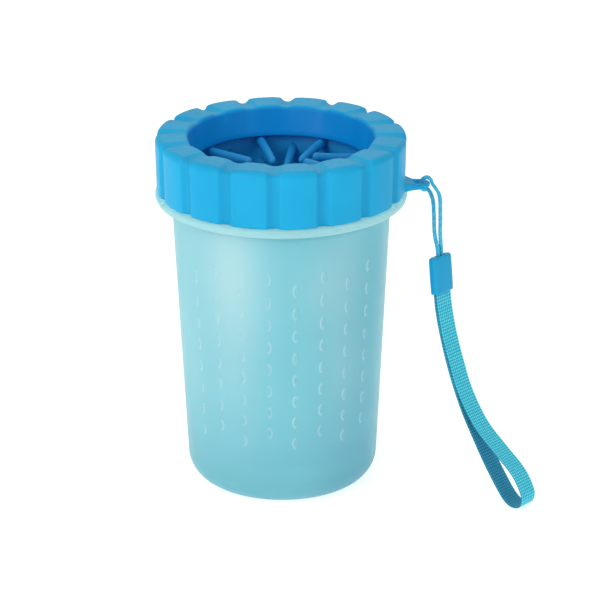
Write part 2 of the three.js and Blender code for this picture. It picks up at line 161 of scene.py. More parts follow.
def revolved(radii, heights, azimuths):
    """Points (rows, cols, 3) round the Z axis; azimuths in radians."""
    x, y = radii * np.sin(azimuths), -radii * np.cos(azimuths)
    return np.stack([x, y, np.broadcast_to(heights, x.shape)], -1)


def round_path(path, normals, binormals, radius, angles):
    """Rings (rows, cols, 3) round a path; radius is one number or (rows, cols)."""
    around = (np.cos(angles)[None, :, None] * normals[:, None, :]
              + np.sin(angles)[None, :, None] * binormals[:, None, :])
    return path[:, None, :] + np.asarray(radius)[..., None] * around


def thread_height(azimuth, z, foot_z, sweep, half_foot, half_crest, rise, start=0.0):
    """Height of a multi-start helical ridge above its cylinder.

    Angles are in degrees: each ridge starts at foot_z and fades out after sweep.
    """
    height = np.zeros(np.broadcast(azimuth, z).shape)
    for k in range(THREAD_STARTS):
        run = (azimuth - start - k * 360 / THREAD_STARTS) % 360
        ridge_z = foot_z + THREAD_LEAD * run / 360
        ends = smooth(0, 7, run) * (1 - smooth(sweep - 7, sweep, run)) * (run < sweep)
        flank = 1 - smooth(half_crest, half_foot, np.abs(z - ridge_z))
        height = np.maximum(height, rise * ends * flank)
    return height


# ------------------------------------------------------------------ mesh making
def add_mesh(name, verts, faces, attrs=None):
    """Smooth-shaded object from points in mm, with float attributes on its points."""
    mesh = bpy.data.meshes.new(name)
    mesh.from_pydata([tuple(v) for v in np.asarray(verts) * MM], [], faces)
    mesh.validate(clean_customdata=False)
    for key, values in (attrs or {}).items():
        attribute = mesh.attributes.new(key, "FLOAT", "POINT")
        attribute.data.foreach_set("value", np.asarray(values, np.float32))
    mesh.polygons.foreach_set("use_smooth", [True] * len(mesh.polygons))
    mesh.update()
    ob = bpy.data.objects.new(name, mesh)
    bpy.context.scene.collection.objects.link(ob)
    bm = bmesh.new()
    bm.from_mesh(mesh)
    bmesh.ops.recalc_face_normals(bm, faces=bm.faces)
    bm.to_mesh(mesh)
    bm.free()
    return ob


def grid_faces(rows, cols, close_rows=False, base=0):
    """Quads over stacked rings of points; close_rows joins the last ring to the first."""
    R, C = np.meshgrid(np.arange(rows if close_rows else rows - 1), np.arange(cols),
                       indexing="ij")
    R2, C2 = (R + 1) % rows, (C + 1) % cols
    quads = np.stack([R * cols + C, R * cols + C2, R2 * cols + C2, R2 * cols + C], -1)
    return (quads.reshape(-1, 4) + base).tolist()


def fan(first, cols, hub):
    return [[first + c, first + (c + 1) % cols, hub] for c in range(cols)]


def add_capped(name, points, attrs=None):
    """Skin over stacked rings (rows, cols, 3), with a fan at both ends."""
    rows, cols, _ = points.shape
    verts = points.reshape(-1, 3).tolist()
    faces = grid_faces(rows, cols)
    for row in (0, rows - 1):
        verts.append(points[row].mean(0).tolist())
        faces += fan(row * cols, cols, len(verts) - 1)
    return add_mesh(name, verts, faces, attrs)


def add_ring_skin(name, points, attrs=None):
    """Skin over rings (rows, cols, 3) whose last ring joins the first."""
    rows, cols, _ = points.shape
    return add_mesh(name, points.reshape(-1, 3), grid_faces(rows, cols, close_rows=True), attrs)


def add_turned_ring(name, profile, segments):
    profile = np.array(profile)
    azimuths = np.linspace(0, math.tau, segments, endpoint=False)
    return add_ring_skin(name, revolved(profile[:, :1], profile[:, 1:], azimuths))


# ---------------------------------------------------------------------- the cup
FOOT_ROUND, INNER_ROUND, RIM_ROUND, CUP_FLOOR_Z = 7.9, 3.0, 0.5, 2.2
FLANGE_R = 45.7
OVAL_ZONE = (16.5, 81.0)                 # heights between which the wall is finely divided
OVAL_PITCH, OVAL_ROWS = 7.22, 8
OVAL_TOP_EVEN, OVAL_TOP_ODD = 73.6, 77.15
OVAL_HALF_H, OVAL_HALF_W = 2.0, 1.26
OVAL_COLUMNS = 24
# degrees from the middle of a column of ovals, crowded where the ovals are
OVAL_OFFSETS = np.array([-7.5, -5.6, -4.0, -2.9, -2.35, -2.05, -1.75, -1.4, -1.0, -0.6, -0.2,
                         0.2, 0.6, 1.0, 1.4, 1.75, 2.05, 2.35, 2.9, 4.0, 5.6])
# painted light in upright bands, paler where softbox highlights and light through the wall fall:
# strength, middle azimuth, width, heights and share at each height
PAINTED_LIGHT_BANDS = [
    (0.85, -27, 18, [5, 25, 50, 75, 90], [0.02, 0.22, 0.50, 1.0, 0.85]),
    (0.50, 24, 16, [30, 60, 74, 90], [0.0, 0.25, 0.75, 0.2]),
    (0.30, -62, 20, [10, 40, 90], [0.2, 1.0, 1.0]),
    (0.38, 38, 12, [15, 45, 60, 90], [0.0, 0.8, 0.5, 0.6]),
]
# painted light on the flange, the same all round
FLANGE_PAINTED_LIGHT = 0.60


def body_r(z):
    return BASE_R + (BODY_TOP_R - BASE_R) * z / FLANGE_Z


def bore_r(z):
    return 35.4 + (37.3 - 35.4) * z / NECK_TOP


def cup_profile():
    """Named stretches of (radius, height), from the underside round to the inner floor."""
    zone_low, zone_high = [(body_r(z), z) for z in OVAL_ZONE]
    flange_top = FLANGE_Z + 2.3
    rim_z = NECK_TOP - RIM_ROUND
    inner_z = CUP_FLOOR_Z + INNER_ROUND
    return {
        "foot": [(0.5, 0.0), (12.0, 0.0), (27.0, 0.0)]
        + arc(body_r(FOOT_ROUND) - FOOT_ROUND, FOOT_ROUND, FOOT_ROUND, -90, 0, 14),
        "wall": resample([(body_r(FOOT_ROUND), FOOT_ROUND), zone_low], 2.0)[1:],
        "ovals": resample([zone_low, zone_high], 0.36)[1:],
        "top": resample([zone_high, (BODY_TOP_R - 0.05, FLANGE_Z - 0.9)], 2.0)[1:],
        "flange": arc(BODY_TOP_R + 0.85, FLANGE_Z - 0.9, 0.9, 180, 90, 5)
        + [(43.0, FLANGE_Z)]
        + arc(FLANGE_R - 1.35, FLANGE_Z + 1.35, 1.35, -90, 0, 12)
        + arc(FLANGE_R - 0.7, FLANGE_Z + 1.6, 0.7, 0, 90, 7)
        + [(42.0, flange_top), (NECK_R + 0.25, flange_top), (NECK_R, FLANGE_Z + 2.55)],
        "neck": resample([(NECK_R, FLANGE_Z + 2.55), (NECK_R, rim_z)], 0.26)[1:],
        "rim": arc(NECK_R - RIM_ROUND, rim_z, RIM_ROUND, 0, 90, 5)
        + arc(bore_r(NECK_TOP) + RIM_ROUND, rim_z, RIM_ROUND, 90, 180, 5),
        "bore": resample([(bore_r(rim_z), rim_z), (bore_r(inner_z), inner_z)], 6.0)[1:],
        "floor": arc(bore_r(inner_z) - INNER_ROUND, inner_z, INNER_ROUND, 0, -90, 8)[1:]
        + [(20.0, CUP_FLOOR_Z), (0.5, CUP_FLOOR_Z)],
    }


def make_cup():
    stretches = cup_profile()
    profile = np.array([point for stretch in stretches.values() for point in stretch])
    part = np.repeat(list(stretches), [len(s) for s in stretches.values()])[:, None]

    pitch = 360 / OVAL_COLUMNS
    az = np.concatenate([pitch / 2 + pitch * k + OVAL_OFFSETS for k in range(OVAL_COLUMNS)])
    column = np.repeat(np.arange(OVAL_COLUMNS), len(OVAL_OFFSETS))
    R = np.repeat(profile[:, :1], len(az), 1)
    Z = np.repeat(profile[:, 1:], len(az), 1)

    # distance from the nearest oval's middle, 1 on its outline
    top_z = np.where(column % 2 == 0, OVAL_TOP_EVEN, OVAL_TOP_ODD)[None, :]
    row = np.clip(np.round((top_z - Z) / OVAL_PITCH), 0, OVAL_ROWS - 1)
    rise = (Z - (top_z - OVAL_PITCH * row)) / OVAL_HALF_H
    sideways = np.radians(np.tile(OVAL_OFFSETS, OVAL_COLUMNS))[None, :] * R / OVAL_HALF_W
    rho = np.sqrt(rise ** 2 + sideways ** 2)
    # a raised rim round a slightly dished middle; four columns at +X and four at -X stay plain
    dome = 0.36 * (1 - smooth(0.62, 1.04, rho)) - 0.10 * (1 - smooth(0.0, 0.62, rho))
    kept = (part == "ovals") & ((column % 12 < 4) | (column % 12 > 7))[None, :]
    R = R + np.where(kept, dome, 0)
    # strength of a painted highlight along each oval's rim
    rim = np.where(kept, np.exp(-((rho - 0.84) / 0.17) ** 2), 0)

    thread = thread_height(az[None, :], Z, foot_z=THREAD_Z, sweep=72,
                           half_foot=0.95, half_crest=0.45, rise=1.4)
    R = R + np.where(part == "neck", thread, 0)

    # opposite sides share one azimuth, -90 to 90
    folded = az[None, :] % 180
    folded = folded - np.where(folded > 90, 180, 0)
    # painted highlight: rims catch most light on the side towards the middle of each half
    rim = rim * (0.32 + 0.68 * (0.5 - 0.5 * np.tanh(2.2 * sideways * np.sign(folded - 3.0))))

    # painted light: paler upright bands standing in for softbox highlights and light passing
    # through the wall
    painted_light = sum(strength * np.exp(-((folded - middle) / width) ** 2)
               * np.interp(Z, heights, shares)
               for strength, middle, width, heights, shares in PAINTED_LIGHT_BANDS)
    # the flange is painted paler throughout
    painted_light = np.where(part == "flange", FLANGE_PAINTED_LIGHT, painted_light)
    # shade: where less light gets through
    shade = (np.interp(Z, [0, 8, 22, 40], [0.62, 0.45, 0.12, 0.0])
             + 0.30 * smooth(5, 55, folded) * (1 - smooth(62, 90, folded))
             * np.interp(Z, [0, 60, 90], [1.0, 0.7, 0.5]))
    shade = np.where(np.isin(part, ["foot", "wall", "ovals", "top"]), shade, 0.0)

    def per_vertex(values):
        return np.concatenate([values.ravel(), [values[0].mean(), values[-1].mean()]])

    return add_capped("cup_body", revolved(R, Z, np.radians(az)[None, :]),
                      {"rim": per_vertex(rim), "painted_light": per_vertex(painted_light),
                       "shade": per_vertex(shade)})


# ---------------------------------------------------------------------- the lid
LOBES, GROOVE_AZ = 16, -3.4
GROOVE_DEPTH = 1.35
LID_ROUND, LID_FOOT_ROUND = 2.1, 0.7
LID_BORE_R, LID_OPENING_R = 41.4, 34.5
# across the lid's top: radius, groove depth
GROOVE_DEPTHS = ([32.9, 33.5, 35.3, 40.5, 43.5, 45.0], [0.30, 0.55, 0.62, 0.8, 1.25, GROOVE_DEPTH])
# radius, half width of a groove
GROOVE_HALF_WIDTHS = ([33.1, 36.0, 42.0, 45.0], [3.25, 2.95, 2.6, 2.55])
# degrees from the middle of a groove: fine inside it, coarse on the lobe
GROOVE_OFFSETS = np.concatenate([np.linspace(-6.6, 6.6, 37),
                                 [7.7, 9.0, 10.2, 11.25, 12.3, 13.5, 14.8]])


def lid_profile():
    """(radius, height): outside from the bottom up to the opening, then back down inside."""
    top_r, shoulder_z = LID_R - 0.15, LID_TOP - LID_ROUND
    foot_z = LID_BOTTOM + LID_FOOT_ROUND
    outside = (arc(LID_R - LID_FOOT_ROUND, foot_z, LID_FOOT_ROUND, -90, 0, 5)
               + resample([(LID_R, foot_z), (top_r, shoulder_z)], 1.0)[1:].tolist()
               + arc(top_r - LID_ROUND, shoulder_z, LID_ROUND, 0, 90, 14)[1:]
               + resample([(top_r - LID_ROUND, LID_TOP),
                           (LID_OPENING_R, LID_TOP - 0.12)], 0.9)[1:].tolist()
               + arc(LID_OPENING_R, LID_TOP - 1.72, 1.6, 90, 172, 9)[1:])
    inside = (resample([outside[-1], (31.5, 101.6)], 1.2)[1:].tolist()
              + arc(31.95, 101.65, 0.45, 186, 270, 4)[1:]
              + arc(32.9, 101.7, 0.5, -90, 0, 4)
              + [(34.7, 105.7), (35.4, 106.5), (38.0, 106.5), (41.1, 106.5), (LID_BORE_R, 106.2)]
              + resample([(LID_BORE_R, 106.2), (LID_BORE_R, LID_BOTTOM + 0.3)], 0.28)[1:].tolist()
              + [(LID_BORE_R + 0.3, LID_BOTTOM)])
    return outside, inside


def make_lid():
    outside, inside = lid_profile()
    profile = np.array(outside + inside)
    r, z = profile.T
    is_outside = np.arange(len(profile)) < len(outside)

    # directions out of the surface; level on the side
    along = np.roll(profile, -1, 0) - np.roll(profile, 1, 0)
    normal = unit(np.stack([along[:, 1], -along[:, 0]], 1))
    normal[is_outside & (r > LID_R - 0.9) & (z < LID_TOP - LID_ROUND)] = [1, 0]

    # grooves are full depth down the side and ease across the top, into the opening
    depth = np.where(is_outside, np.interp(r, *GROOVE_DEPTHS), 0.0)
    fading = slice(len(outside), len(outside) + 5)
    depth[fading] = np.linspace(0.24, 0.0, 5)
    normal[fading] = [-1, 0]

    pitch = 360 / LOBES
    az = np.concatenate([GROOVE_AZ + pitch * k + GROOVE_OFFSETS for k in range(LOBES)])
    from_groove = np.tile(np.where(GROOVE_OFFSETS > pitch / 2, GROOVE_OFFSETS - pitch,
                                   GROOVE_OFFSETS), LOBES)
    # distance round the rim in mm; the grooves widen towards the opening
    half = np.interp(r, *GROOVE_HALF_WIDTHS)[:, None]
    dist = np.abs(np.radians(from_groove))[None, :] * np.clip(r, 33.0, LID_R)[:, None]
    # a parabolic hollow, averaged over small shifts to soften its edges
    hollow = np.mean([np.clip(1 - ((dist + shift) / half) ** 2, 0, 1)
                      for shift in (-0.36, -0.18, 0.0, 0.18, 0.36)], 0)
    # lobes roll off very slightly towards the grooves
    roll = 0.15 * (0.5 + 0.5 * np.cos(np.pi * np.clip((dist - half) / 3.0, 0, 1)))
    cut = depth[:, None] * hollow + (np.minimum(depth, 0.8) / 0.8)[:, None] * roll
    R = r[:, None] - normal[:, :1] * cut
    Z = z[:, None] - normal[:, 1:] * cut

    # internal thread, set below the cup's ridges
    thread_start = 6.0
    thread = thread_height(az[None, :], Z,
                           foot_z=THREAD_Z - 2.1 + THREAD_LEAD * thread_start / 360, sweep=60,
                           half_foot=0.85, half_crest=0.35, rise=1.65, start=thread_start)
    bore = ~is_outside & (np.abs(r - LID_BORE_R) < 0.01) & (z < 105.8)
    R = R - np.where(bore[:, None], thread, 0)

    # masks for the painted shade in the grooves and for the painted shade and painted glow in the
    # well
    groove = np.clip(depth / GROOVE_DEPTH, 0, 1)[:, None] * hollow
    well = np.where(is_outside, np.clip((33.9 - r) / 0.9, 0, 1), 1.0)
    return add_ring_skin("lid_ring_body", revolved(R, Z, np.radians(az)[None, :]),
                         {"groove": groove.ravel(), "well": np.repeat(well, len(az))})


def make_lug():
    """Tab for the cord: a flared root in the skirt, thinning to a rounded end with an eye."""
    root_half, neck_half, end_half = 5.6, 3.72, 3.6
    root_x, neck_x, end_x = 43.0, 47.2, LUG_END_X - end_half
    edge_round = 0.42

    side = []
    for y in np.linspace(-root_half, -neck_half, 14):
        t = (y + root_half) / (root_half - neck_half)
        side.append((root_x + (neck_x - root_x) * t ** 0.6, y))
    side += [(x, -neck_half + (neck_half - end_half) * (x - neck_x) / (end_x - neck_x))
             for x in np.linspace(neck_x, end_x, 8)[1:]]
    end = [(end_x + end_half * math.cos(a), end_half * math.sin(a))
           for a in np.linspace(-math.pi / 2, math.pi / 2, 33)[1:]]
    corners = side + end + [(x, -y) for x, y in reversed(side)]
    outline = resample(np.array(corners + [corners[0]]), 0.35)[:-1]

    # the eye's points, matched to the outline by direction from its centre
    centre = np.array([LUG_EYE_X, 0.0])
    angles = np.arctan2(outline[:, 1], outline[:, 0] - LUG_EYE_X)
    eye = centre + LUG_EYE_R * np.stack([np.cos(angles), np.sin(angles)], 1)
    midway = eye + (outline - eye) * 0.45
    bottom, top = LUG_Z - LUG_T / 2, LUG_Z + LUG_T / 2

    def level(points, height):
        return np.c_[points, np.full(len(points), height)]

    def inset(points, by):
        return points - unit(points - centre) * by

    # rounded edge: one distance falls to 0 while the other grows from 0
    edge = [(edge_round * (1 - math.sin(a)), edge_round * (1 - math.cos(a)))
            for a in np.radians(np.linspace(0, 90, 6))]
    rings = [level(inset(outline, fall), bottom + grow) for fall, grow in edge]
    rings += [level(inset(outline, grow), top - fall) for fall, grow in edge]
    rings.append(level(midway, top))
    rings += [level(inset(eye, -fall), top - grow) for fall, grow in edge]
    rings += [level(inset(eye, -grow), bottom + fall) for fall, grow in edge]
    rings.append(level(midway, bottom))
    points = np.array(rings)

    # the top slopes down from the root, and both faces close in towards the end
    x = points[..., 0]
    lift = np.clip((48.0 - x) / 5.0, 0, 1) ** 1.6
    thin = np.clip((x - 47.0) / (LUG_END_X - 47.0), 0, 1)
    points[..., 2] += np.where(points[..., 2] > LUG_Z, 1.1 * lift - 0.1 * thin, 0.5 * thin)
    return add_ring_skin("lid_lug", points)


# ---------------------------------------------------------------- brush insert
SLEEVE_WALL, SLEEVE_EDGE = 1.5, 0.55
PEG_COLUMNS, PEG_ROWS, PEG_SIDES = 18, 11, 20
PEG_FIRST_AZ, PEG_TOP_Z, PEG_PITCH = 13, 99.3, 7.2
PEG_ROOT_R, PEG_TIP_R = 1.58, 1.3
PEG_SINK = 0.25                          # how far a root is buried in the sleeve's wall
# pegs of the top row that show through the opening, by column:
# lift, droop, sway, distance of the tip from the axis
TOP_PEGS = {
    11: (0.0, -0.1, 0.3, 13.2), 9: (0.1, 0.8, 0.5, 10.6), 7: (0.1, 1.1, -0.6, 14.4),
    5: (0.0, -2.4, 0.0, 12.4), 8: (0.7, 1.6, 0.2, 13.0), 3: (0.0, -2.7, 0.5, 8.2),
}


def sleeve_r(z):
    return 34.5 + (36.2 - 34.5) * (z - 13.0) / (102.3 - 13.0)


def sleeve_inner_r(z):
    return sleeve_r(z) - SLEEVE_WALL


def make_sleeve():
    edge_z = 13.55
    profile = (arc(sleeve_r(13.6) - SLEEVE_EDGE, edge_z, SLEEVE_EDGE, -90, 0, 4)
               + resample([(sleeve_r(14), 14.0), (36.15, 101.6)], 8).tolist()
               + [(36.3, 102.1), (36.8, 102.3), (39.9, 102.3)]
               + arc(40.1, 102.8, 0.5, -70, 0, 3) + arc(40.1, 103.4, 0.5, 0, 90, 4)
               + [(38.6, 103.9), (38.3, 103.75), (37.7, 103.75), (37.4, 103.9), (36.2, 103.9)]
               + arc(36.2, 103.4, 0.5, 90, 180, 4)[1:]
               + [(35.3, 102.2), (34.9, 100.2), (sleeve_inner_r(97.5), 97.8)]
               + resample([(sleeve_inner_r(97), 97.0), (sleeve_inner_r(14.2), 14.2)], 8).tolist()
               + arc(sleeve_inner_r(13.6) + SLEEVE_EDGE, edge_z, SLEEVE_EDGE, 180, 270, 3))
    return add_turned_ring("brush_sleeve", profile, 180)


def peg_rings(azimuth, z, root_r, droop, sway, tip_r):
    """Rings of one peg as (share of its length, points), and its centre line."""
    a = math.radians(azimuth)
    outward = np.array([math.sin(a), -math.cos(a), 0.0])
    sideways = np.array([math.cos(a), math.sin(a), 0.0])
    length = root_r - tip_r
    angles = np.linspace(0, math.tau, PEG_SIDES, endpoint=False)[:, None]

    def centre(t):
        along = max(t, 0.0)
        return (outward * (root_r - length * t) + sideways * sway * along ** 1.5
                + np.array([0, 0, z - droop * along ** 1.7]))

    # tapering body with a small root fillet, then the rounded end
    stations = [(t, PEG_ROOT_R - (PEG_ROOT_R - PEG_TIP_R) * t + 0.55 * math.exp(-t * length / 0.5))
                for t in np.concatenate([[0.0, 0.03, 0.07, 0.12], np.linspace(0.2, 0.93, 9)])]
    end_share = PEG_TIP_R / length
    stations += [(1 - end_share + end_share * math.sin(b), PEG_TIP_R * math.cos(b))
                 for b in np.radians([0, 20, 40, 58, 74, 85])]
    rings = []
    for t, radius in stations:
        forward = unit(centre(min(t + 0.02, 1.02)) - centre(t - 0.02))
        level = unit(np.cross(forward, [0, 0, 1.0]))
        upright = np.cross(level, forward)
        ring = centre(t) + radius * (np.cos(angles) * level + np.sin(angles) * upright)
        rings.append((t, ring))
    return rings, centre


def make_bristles():
    """Tapered, round-ended pegs pointing inwards; each sags a little differently."""
    rng = np.random.default_rng(7)
    verts, faces, tipness = [], [], []
    for column in range(PEG_COLUMNS):
        for row in range(PEG_ROWS):
            z = PEG_TOP_Z - PEG_PITCH * (row + (0.5 if column % 2 == 0 else 0))
            root_r = sleeve_inner_r(z) + PEG_SINK
            droop = 0.1 + rng.uniform(-0.9, 1.0)
            sway = rng.uniform(-1.6, 1.6)
            tip_r = 12.5 + rng.uniform(0.0, 1.6)
            if row == 0 and column in TOP_PEGS:
                lift, droop, sway, tip_r = TOP_PEGS[column]
                z += lift
            rings, centre = peg_rings(PEG_FIRST_AZ + 360 / PEG_COLUMNS * column, z, root_r,
                                      droop, sway, tip_r)
            base = len(verts)
            for t, ring in rings:
                verts += ring.tolist()
                tipness += [t] * PEG_SIDES
            faces += grid_faces(len(rings), PEG_SIDES, base=base)
            for ring_index, t in ((0, 0.0), (len(rings) - 1, 1.0)):
                verts.append(centre(t).tolist())
                tipness.append(t)
                faces += fan(base + ring_index * PEG_SIDES, PEG_SIDES, len(verts) - 1)
    return add_mesh("brush_bristles", verts, faces, {"tipness": tipness})


# -------------------------------------------------------------------- the seal
def make_seal():
    """Flat ring with rounded edges and a shallow groove in both faces."""
    profile = (arc(36.5, 104.8, 0.5, 180, 270, 4)
               + [(37.4, 104.3), (37.7, 104.5), (38.3, 104.5), (38.6, 104.3)]
               + arc(39.8, 104.8, 0.5, -90, 0, 4) + arc(39.8, 105.5, 0.5, 0, 90, 4)
               + [(38.6, 106.0), (38.3, 105.85), (37.7, 105.85), (37.4, 106.0)]
               + arc(36.5, 105.5, 0.5, 90, 180, 4))
    return add_turned_ring("seal_ring_body", profile, 160)


# -------------------------------------------------------------- cord and strap
CORD_R, YARN_RISE, BRAID_PITCH = 0.675, 0.075, 2.3
CORD_WRAP_R = 2.12                       # of the cord's centre line round the lug's bar
CORD_SPREAD = 0.95                       # half the distance between the two ends


def cord_path():
    """Up from the ferrule, through the lug's eye, over its bar and back down."""
    def at_ferrule(down, side):
        return ferrule_point(down, 0.0, side * CORD_SPREAD)

    def wrap(degrees, y=0.0):
        a = math.radians(degrees)
        return [LUG_BAR_X + CORD_WRAP_R * math.cos(a), y,
                LUG_Z + 0.05 + CORD_WRAP_R * math.sin(a)]

    return [at_ferrule(1.6, -1), at_ferrule(0.2, -1), at_ferrule(-2.5, -1.05),
            [56.3, -2.5, 80.5], [55.75, -1.2, 86.0], [55.1, 0.4, 90.2],
            wrap(-68, 1.6), wrap(-108, 1.7), wrap(-148, 0.65), wrap(180, 0.15),
            wrap(148), wrap(112), wrap(76), wrap(40), wrap(10),
            [57.3, -1.6, 91.9], [58.0, -2.7, 86.5], [58.35, -3.0, 80.5],
            at_ferrule(-2.5, 1.05), at_ferrule(0.2, 1), at_ferrule(1.6, 1)]


def make_cord():
    steps = 620
    path, length = centripetal(cord_path(), steps)
    forward = tangents(path)
    # normals carried along the path without twisting
    normals = np.zeros_like(path)
    normals[0] = unit(np.cross(forward[0], [0, 1, 0.3]))
    for i in range(1, len(path)):
        last = normals[i - 1]
        normals[i] = unit(last - forward[i] * (last @ forward[i]))
    binormals = np.cross(forward, normals)

    # braid: two families of yarns crossing each other
    angles = np.linspace(0, math.tau, 28, endpoint=False)
    round_cord = angles[None, :]
    phase = math.tau / BRAID_PITCH * np.linspace(0, length, steps + 1)[:, None]
    one_way = np.abs(np.sin(2 * (round_cord + phase / 2)))
    other_way = np.abs(np.sin(2 * (round_cord - phase / 2)))
    over = np.sin(2 * round_cord) * np.sin(phase) > 0
    yarn = np.where(over, one_way, other_way) ** 0.6
    # pulled thinner where it bends round the lug
    turn = np.clip((path[:, 2] - 91.5) / 1.5, 0, 1)[:, None]
    radius = (CORD_R + YARN_RISE * yarn) * (1 - 0.18 * turn)
    points = round_path(path, normals, binormals, radius, angles)
    return add_capped("cord_braid", points, {"yarn": np.concatenate([yarn.ravel(), [0, 0]])})


def rounded_rect(width, thickness, corner):
    a, b = width / 2 - corner, thickness / 2 - corner
    points = []
    for x, y, start in ((a, b, 0), (-a, b, 90), (-a, -b, 180), (a, -b, 270)):
        points += arc(x, y, corner, start, start + 90, 10)
    return points


def make_ferrule():
    """Rounded block with a pocket for the cord above and one for the webbing below."""
    # width, thickness, corner radius, distance down: up out of the cord's pocket
    sections = [
        (0.6, 0.3, 0.14, 4.6), (3.9, 1.7, 0.5, 4.6), (4.1, 1.85, 0.6, 4.2),
        (4.1, 1.85, 0.6, 0.75), (4.2, 1.9, 0.62, 0.05), (4.45, 2.05, 0.7, -0.24),
        (4.9, 2.15, 0.75, -0.38),
    ]
    shoulder, corner = 0.78, 1.55
    for a in np.radians(np.linspace(0, 90, 10)):
        k = 2 * shoulder * (1 - math.sin(a))
        sections.append((FERRULE_W + 0.3 - k, FERRULE_T + 0.25 - k,
                         max(0.8, corner - 0.45 * k), -0.42 + shoulder * (1 - math.cos(a))))
    for down in np.linspace(1.2, FERRULE_H - 1.2, 12):
        belly = 0.06 * math.cos((down - FERRULE_H / 2) / FERRULE_H * math.pi)
        sections.append((FERRULE_W + 0.32 + 2 * belly, FERRULE_T + 0.25 + 2 * belly,
                         corner, down))
    lower_round = 0.42
    for a in np.radians(np.linspace(0, 90, 7)):
        k = 2 * lower_round * (1 - math.cos(a))
        sections.append((FERRULE_W + 0.34 - k, FERRULE_T + 0.27 - k,
                         max(0.7, corner - k / 2), FERRULE_H - lower_round * (1 - math.sin(a))))
    # up into the webbing's pocket
    sections += [
        (WEB_W + 0.56, 2.3, 0.35, FERRULE_H - 0.02), (WEB_W + 0.4, 2.12, 0.3, FERRULE_H - 0.3),
        (WEB_W + 0.4, 2.12, 0.3, 5.0), (0.8, 0.3, 0.14, 4.95),
    ]
    rings = [[ferrule_point(down, side, across)
              for across, side in rounded_rect(width, thickness, corner_r)]
             for width, thickness, corner_r, down in sections]
    return add_capped("ferrule_block", np.array(rings))


def make_stitching():
    """Zigzag of thread inside the ferrule."""
    corners = [ferrule_point(2.55 + 1.4 * i / 14, 0.5 * math.sin(i * 2.4), 1.35 if i % 2 else -1.35)
               for i in range(15)]
    path, _ = centripetal(corners, 260)
    forward = tangents(path)
    normals = unit(np.cross(forward, [0.2, 0.1, 1.0]))
    angles = np.linspace(0, math.tau, 10, endpoint=False)
    points = round_path(path, normals, np.cross(forward, normals), 0.11, angles)
    return add_capped("bar_tack_thread", points)


# webbing's centre line as (out, height): the upper run outwards, the lower run back
STRAP_OUT = [
    (9.3, 58.55), (12.35, 50.35), (17.07, 41.13), (22.0, 33.0), (31.0, 23.63),
    (40.75, 17.72), (49.55, 12.86), (53.42, 9.83), (56.94, 4.9),
]
STRAP_BACK = [
    (56.4, 1.8), (53.6, 0.65), (49.6, 1.35), (40.49, 9.0), (30.24, 20.2),
    (23.72, 28.2), (17.02, 38.65), (11.61, 49.55), (8.25, 58.4),
]
CLAMPED_DEPTHS, CLAMPED_SIDE = (5.4, 8.3, 11.4), 0.48
WEAVE_ACROSS, WEAVE_STEPS = 8, 6         # crossings across the width, mesh steps in each


def make_webbing():
    """Plain-woven webbing: every crossing of warp and weft is a raised pillow."""
    path = ([ferrule_plane(down, CLAMPED_SIDE) for down in CLAMPED_DEPTHS]
            + STRAP_OUT + STRAP_BACK
            + [ferrule_plane(down, -CLAMPED_SIDE) for down in reversed(CLAMPED_DEPTHS)])
    pitch = WEB_W / WEAVE_ACROSS
    _, length = centripetal(path, 10)
    cells = int(round(length / pitch))
    steps = cells * WEAVE_STEPS
    line, _ = centripetal(path, steps)
    forward = tangents(line)
    normals = np.stack([-forward[:, 1], forward[:, 0]], 1)

    across = np.linspace(-WEB_W / 2, WEB_W / 2, WEAVE_ACROSS * WEAVE_STEPS + 1)
    U, V = np.meshgrid((across + WEB_W / 2) / pitch, np.linspace(0, cells, steps + 1))
    wave_u, wave_v = np.abs(np.sin(np.pi * U)), np.abs(np.sin(np.pi * V))
    # alternate crossings: warp over weft is long one way, weft over warp the other
    warp_over = (np.floor(U) + np.floor(V)) % 2 < 1
    pillow = np.where(warp_over, wave_u ** 0.9 * wave_v ** 0.4, wave_u ** 0.4 * wave_v ** 0.9)
    rise = 0.075 * pillow * (0.72 + 0.28 * warp_over)
    selvedge = np.clip((np.abs(across) - (WEB_W / 2 - 0.3)) / 0.3, 0, 1)
    half = WEB_T / 2 - 0.085 - 0.09 * selvedge ** 2

    # the face outside the loop, then the face inside it in reverse, close into rings
    points, yarn, inner = [], [], []
    for face, order in ((1, slice(None)), (-1, slice(None, None, -1))):
        offset = face * (half[None, :] + rise)
        out = line[:, :1] + normals[:, :1] * offset
        height = line[:, 1:] + normals[:, 1:] * offset
        points.append(on_strap(out, across, height)[:, order])
        yarn.append(pillow[:, order])
        # painted shade on the face inside the loop, strongest low down
        low = np.clip((36.0 - height) / 12.0, 0, 1)
        inner.append(low * (1.0 if face < 0 else 0.0))

    def per_vertex(faces):
        return np.concatenate([np.concatenate(faces, 1).ravel(), [0.5, 0.5]])

    return add_capped("webbing_loop", np.concatenate(points, 1),
                      {"yarn": per_vertex(yarn), "inner": per_vertex(inner)})


# ---------------------------------------------------------------- shader helpers
def new_material(name):
    """A material, its node tree and the socket its shader goes into."""
    material = bpy.data.materials.new(name)
    material.use_nodes = True
    tree = material.node_tree
    tree.nodes.clear()
    output = tree.nodes.new("ShaderNodeOutputMaterial")
    return material, tree, output.inputs["Surface"]


def feed(tree, socket, value):
    """Set a socket to a number or tuple (colours gain alpha 1), or link it to an output."""
    if isinstance(value, (int, float)):
        socket.default_value = value
    elif isinstance(value, tuple):
        socket.default_value = (*value, 1) if socket.type == "RGBA" else value
    else:
        tree.links.new(value, socket)


def add_node(tree, kind, **inputs):
    """New node; an underscore in an input's name stands for a space."""
    node = tree.nodes.new("ShaderNode" + kind)
    for name, value in inputs.items():
        feed(tree, node.inputs[name.replace("_", " ")], value)
    return node


def object_coords(tree):
    coords = tree.nodes.new("ShaderNodeTexCoord").outputs["Object"]
    return add_node(tree, "Mapping", Vector=coords).outputs["Vector"]


